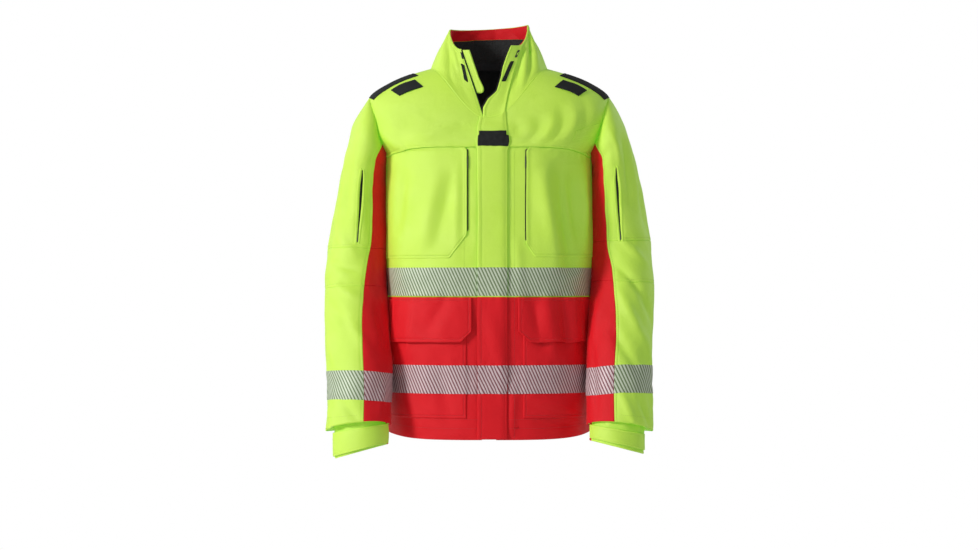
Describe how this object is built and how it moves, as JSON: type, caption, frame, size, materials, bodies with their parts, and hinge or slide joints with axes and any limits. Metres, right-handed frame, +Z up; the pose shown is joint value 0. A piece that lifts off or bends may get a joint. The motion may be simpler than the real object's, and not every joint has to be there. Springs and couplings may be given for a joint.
{
  "type": "high visibility waterproof parka",
  "caption": "Hip-length two-tone responder parka with reflective tape, stand collar, storm flap over a front zip, chest and skirt pockets and adjustable cuffs.",
  "frame": {"origin": "centre of the neck opening, level with the neck seam on the shoulders", "axes": "+Z up as worn, -Y out of the front, +X to the wearer's left"},
  "size_m": [0.5862, 0.3185, 0.7771],
  "materials": {
    "hi_vis_yellow": "coated weave, satin",
    "red_shell": "coated weave, satin",
    "reflective_tape": "segmented silver transfer film, glossy",
    "black_webbing": "coarse weave, matte",
    "zip_tape": "woven tape with a moulded coil, matte",
    "black_fleece": "short pile, matte",
    "black_lining": "plain weave, satin",
    "black_zip_slider": "lacquered, satin"
  },
  "bodies": {
    "coat": {"yoke": "hi_vis_yellow", "front_chest_left": "hi_vis_yellow", "front_chest_right": "hi_vis_yellow", "back_panel": "hi_vis_yellow", "side_panel_left": "red_shell", "side_panel_right": "red_shell", "front_skirt_left": "red_shell", "front_skirt_right": "red_shell", "back_skirt": "red_shell", "body_lining": "black_lining", "collar_shell": "hi_vis_yellow", "collar_lining": "black_fleece", "collar_facing": "red_shell", "chin_guard": "hi_vis_yellow", "zip_tape_left": "zip_tape", "zip_tape_right": "zip_tape", "chest_tape": "reflective_tape", "waist_tape": "reflective_tape", "chest_pocket_left": "hi_vis_yellow", "chest_pocket_right": "hi_vis_yellow", "skirt_pocket_left": "red_shell", "skirt_pocket_right": "red_shell", "shoulder_guard_left": "black_webbing", "shoulder_guard_right": "black_webbing", "shoulder_tab_left": "black_webbing", "shoulder_tab_right": "black_webbing", "sleeve_cap_left": "hi_vis_yellow", "sleeve_cap_right": "hi_vis_yellow", "sleeve_cap_under_left": "red_shell", "sleeve_cap_under_right": "red_shell"},
    "storm_flap": {"storm_flap_upper": "hi_vis_yellow", "storm_flap_lower": "red_shell", "chest_tape_flap": "reflective_tape", "waist_tape_flap": "reflective_tape", "chest_tab": "black_webbing"},
    "main_slider": {"main_slider": "black_zip_slider"},
    "pocket_flap_left": {"pocket_flap_left": "red_shell"},
    "chest_slider_left": {"chest_slider_left": "black_zip_slider"},
    "upper_sleeve_left": {"sleeve_upper_left": "hi_vis_yellow", "sleeve_upper_under_left": "red_shell", "sleeve_elbow_left": "hi_vis_yellow", "sleeve_elbow_under_left": "red_shell"},
    "forearm_left": {"sleeve_forearm_left": "hi_vis_yellow", "sleeve_forearm_under_left": "red_shell", "sleeve_tape_left": "reflective_tape", "cuff_left": "hi_vis_yellow"},
    "cuff_tab_left": {"cuff_tab_left": "hi_vis_yellow"},
    "sleeve_slider_left": {"sleeve_slider_left": "black_zip_slider"},
    "pocket_flap_right": {"pocket_flap_right": "red_shell"},
    "chest_slider_right": {"chest_slider_right": "black_zip_slider"},
    "upper_sleeve_right": {"sleeve_upper_right": "hi_vis_yellow", "sleeve_upper_under_right": "red_shell", "sleeve_elbow_right": "hi_vis_yellow", "sleeve_elbow_under_right": "red_shell"},
    "forearm_right": {"sleeve_forearm_right": "hi_vis_yellow", "sleeve_forearm_under_right": "red_shell", "sleeve_tape_right": "reflective_tape", "cuff_right": "hi_vis_yellow"},
    "cuff_tab_right": {"cuff_tab_right": "hi_vis_yellow"},
    "sleeve_slider_right": {"sleeve_slider_right": "black_zip_slider"}
  },
  "joints": [
    {"name": "storm_flap_hinge", "type": "hinge", "parent": "coat", "child": "storm_flap", "pos_m": [0.03308, -0.12909, -0.17971], "axis": [0, 0.046, 0.9989], "range_deg": [0, 90]},
    {"name": "main_zip_slide", "type": "slide", "parent": "coat", "child": "main_slider", "axis": [0, -0.047, -0.9989], "range_m": [0, 0.43]},
    {"name": "pocket_flap_left_hinge", "type": "hinge", "parent": "coat", "child": "pocket_flap_left", "pos_m": [0.12561, -0.11701, -0.41225], "axis": [-0.9037, -0.4282, 0], "range_deg": [0, 110]},
    {"name": "chest_zip_left_slide", "type": "slide", "parent": "coat", "child": "chest_slider_left", "axis": [-0.0012, -0.0456, -0.999], "range_m": [0, 0.11]},
    {"name": "shoulder_left_lift", "type": "hinge", "parent": "coat", "child": "upper_sleeve_left", "pos_m": [0.192, 0, -0.135], "axis": [0, -1, 0], "range_deg": [0, 50], "deforming": ["sleeve_cap_left", "sleeve_cap_under_left"]},
    {"name": "elbow_left_bend", "type": "hinge", "parent": "upper_sleeve_left", "child": "forearm_left", "pos_m": [0.241, -0.022, -0.372], "axis": [-1, 0, 0], "range_deg": [0, 80], "deforming": ["sleeve_elbow_left", "sleeve_elbow_under_left"]},
    {"name": "cuff_tab_left_hinge", "type": "hinge", "parent": "forearm_left", "child": "cuff_tab_left", "pos_m": [0.27104, -0.13323, -0.63164], "axis": [0.015, 0.235, 0.9719], "range_deg": [0, 60]},
    {"name": "sleeve_zip_left_slide", "type": "slide", "parent": "upper_sleeve_left", "child": "sleeve_slider_left", "axis": [-0.115, -0.044, 0.9924], "range_m": [0, 0.06]},
    {"name": "pocket_flap_right_hinge", "type": "hinge", "parent": "coat", "child": "pocket_flap_right", "pos_m": [-0.10204, -0.12674, -0.41222], "axis": [-0.9249, 0.3802, 0], "range_deg": [0, 110]},
    {"name": "chest_zip_right_slide", "type": "slide", "parent": "coat", "child": "chest_slider_right", "axis": [0.0008, -0.0466, -0.9989], "range_m": [0, 0.11]},
    {"name": "shoulder_right_lift", "type": "hinge", "parent": "coat", "child": "upper_sleeve_right", "pos_m": [-0.192, 0, -0.135], "axis": [0, 1, 0], "range_deg": [0, 50], "deforming": ["sleeve_cap_right", "sleeve_cap_under_right"]},
    {"name": "elbow_right_bend", "type": "hinge", "parent": "upper_sleeve_right", "child": "forearm_right", "pos_m": [-0.241, -0.022, -0.372], "axis": [-1, 0, 0], "range_deg": [0, 80], "deforming": ["sleeve_elbow_right", "sleeve_elbow_under_right"]},
    {"name": "cuff_tab_right_hinge", "type": "hinge", "parent": "forearm_right", "child": "cuff_tab_right", "pos_m": [-0.27104, -0.13323, -0.63164], "axis": [0.015, -0.235, -0.9719], "range_deg": [0, 60]},
    {"name": "sleeve_zip_right_slide", "type": "slide", "parent": "upper_sleeve_right", "child": "sleeve_slider_right", "axis": [0.115, -0.044, 0.9924], "range_m": [0, 0.06]}
  ]
}
